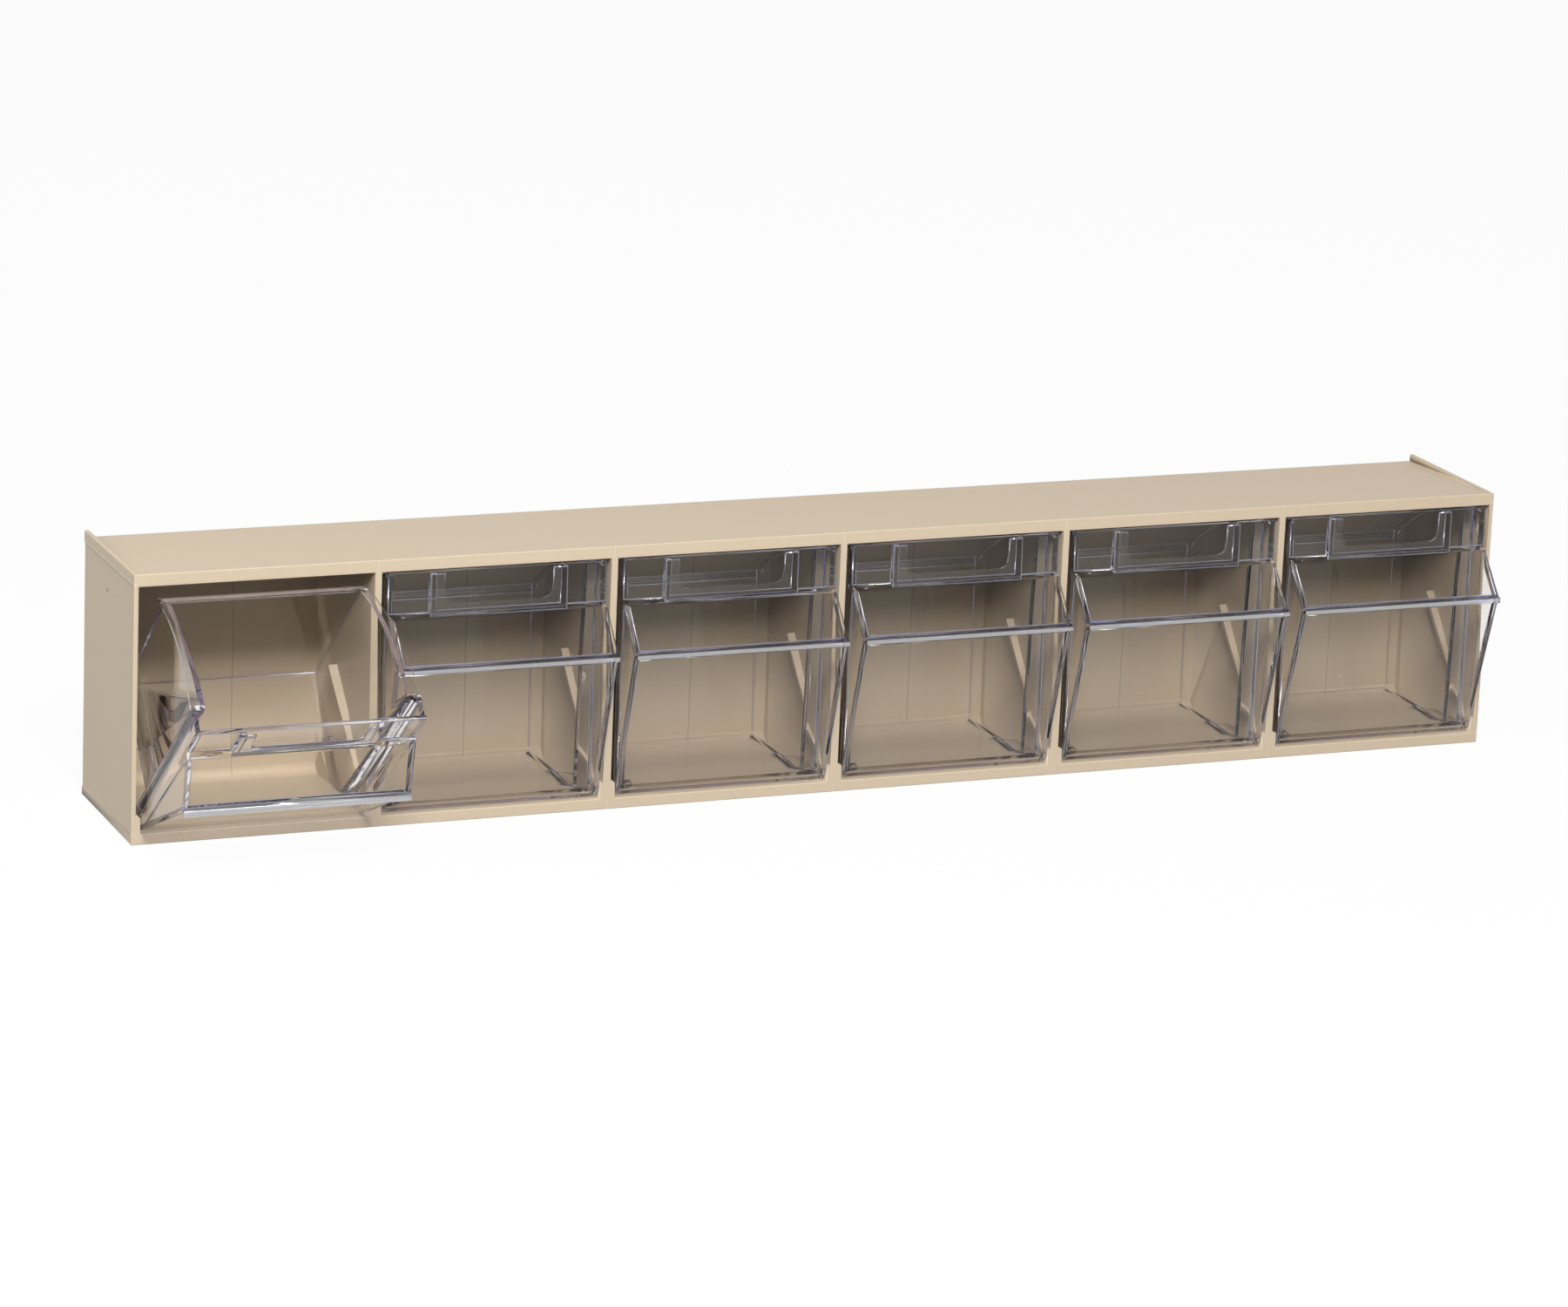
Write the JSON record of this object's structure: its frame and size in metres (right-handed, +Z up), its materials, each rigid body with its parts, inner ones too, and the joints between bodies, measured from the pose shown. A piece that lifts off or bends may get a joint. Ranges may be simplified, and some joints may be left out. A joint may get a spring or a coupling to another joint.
{
  "type": "tip-out bin cabinet",
  "caption": "Low moulded counter cabinet with a row of clear one-piece bins that tip out on hinge pins at their lower front corners, each with a label holder and a pull lip.",
  "frame": {"origin": "middle of the base's length and of the cabinet body's depth, on the surface that it stands on", "axes": "+X along the cabinet to the right as seen from the front, -Y out of the front, +Z up"},
  "size_m": [0.6, 0.147, 0.1103],
  "materials": {
    "beige_plastic": "satin",
    "clear_plastic": "gloss"
  },
  "bodies": {
    "cabinet": {"cabinet": "beige_plastic"},
    "bin_1": {"bin_1": "clear_plastic"},
    "bin_2": {"bin_2": "clear_plastic"},
    "bin_3": {"bin_3": "clear_plastic"},
    "bin_4": {"bin_4": "clear_plastic"},
    "bin_5": {"bin_5": "clear_plastic"},
    "bin_6": {"bin_6": "clear_plastic"}
  },
  "joints": [
    {"name": "bin_1_tip", "type": "hinge", "parent": "cabinet", "child": "bin_1", "pos_m": [-0.2497, -0.0322, 0.0084], "axis": [1, 0, 0], "range_deg": [-50.6, 0]},
    {"name": "bin_2_tip", "type": "hinge", "parent": "cabinet", "child": "bin_2", "pos_m": [-0.14982, -0.0322, 0.0084], "axis": [1, 0, 0], "range_deg": [0, 50.6]},
    {"name": "bin_3_tip", "type": "hinge", "parent": "cabinet", "child": "bin_3", "pos_m": [-0.04994, -0.0322, 0.0084], "axis": [1, 0, 0], "range_deg": [0, 50.6]},
    {"name": "bin_4_tip", "type": "hinge", "parent": "cabinet", "child": "bin_4", "pos_m": [0.04994, -0.0322, 0.0084], "axis": [1, 0, 0], "range_deg": [0, 50.6]},
    {"name": "bin_5_tip", "type": "hinge", "parent": "cabinet", "child": "bin_5", "pos_m": [0.14982, -0.0322, 0.0084], "axis": [1, 0, 0], "range_deg": [0, 50.6]},
    {"name": "bin_6_tip", "type": "hinge", "parent": "cabinet", "child": "bin_6", "pos_m": [0.2497, -0.0322, 0.0084], "axis": [1, 0, 0], "range_deg": [0, 50.6]}
  ]
}
